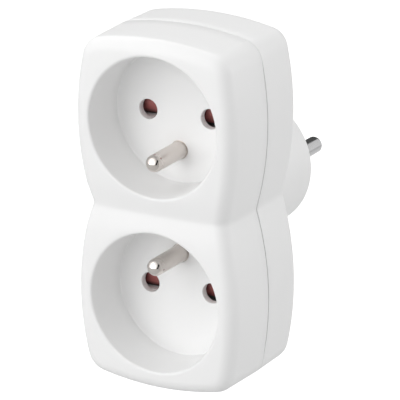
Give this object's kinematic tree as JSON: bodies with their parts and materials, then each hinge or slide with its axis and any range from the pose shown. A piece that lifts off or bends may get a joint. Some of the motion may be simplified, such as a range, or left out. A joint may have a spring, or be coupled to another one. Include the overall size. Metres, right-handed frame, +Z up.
{
  "type": "double socket adapter",
  "caption": "White plug-in socket adapter: a waisted body with round earthed socket wells on the front, shuttered contact holes and a round pin plug on the back.",
  "frame": {"origin": "centre of the plug's end face, between its pins", "axes": "+Y along the plug pins into the wall socket, -Y out of the adapter's own sockets, +Z up"},
  "size_m": [0.0494, 0.074, 0.0985],
  "materials": {
    "white_plastic": "satin moulded",
    "red_plastic": "moulded",
    "grey_plastic": "moulded",
    "nickel_plate": "nickel plated",
    "brass": "stamped",
    "steel": "zinc plated"
  },
  "bodies": {
    "housing": {"front_housing": "white_plastic", "rear_housing": "white_plastic", "upper_shutter_springs": "steel", "lower_shutter_springs": "steel", "upper_shutter_cover": "grey_plastic", "lower_shutter_cover": "grey_plastic", "upper_earth_pin": "nickel_plate", "lower_earth_pin": "nickel_plate", "upper_live_clip": "brass", "lower_live_clip": "brass", "upper_neutral_clip": "brass", "lower_neutral_clip": "brass", "live_bar": "brass", "neutral_bar": "brass", "earth_bar": "brass", "live_plug_pin": "nickel_plate", "neutral_plug_pin": "nickel_plate", "earth_sleeve": "brass", "contact_rivets": "brass", "housing_screws": "steel"},
    "upper_shutter": {"upper_shutter": "red_plastic"},
    "lower_shutter": {"lower_shutter": "red_plastic"}
  },
  "joints": [
    {"name": "upper_shutter_slide", "type": "slide", "parent": "housing", "child": "upper_shutter", "axis": [0, 0, 1], "range_m": [0, 0.0054], "stiffness_N_per_m": 200, "springref_m": -0.004, "deforming": ["upper_shutter_springs"]},
    {"name": "lower_shutter_slide", "type": "slide", "parent": "housing", "child": "lower_shutter", "axis": [0, 0, 1], "range_m": [0, 0.0054], "stiffness_N_per_m": 200, "springref_m": -0.004, "deforming": ["lower_shutter_springs"]}
  ]
}
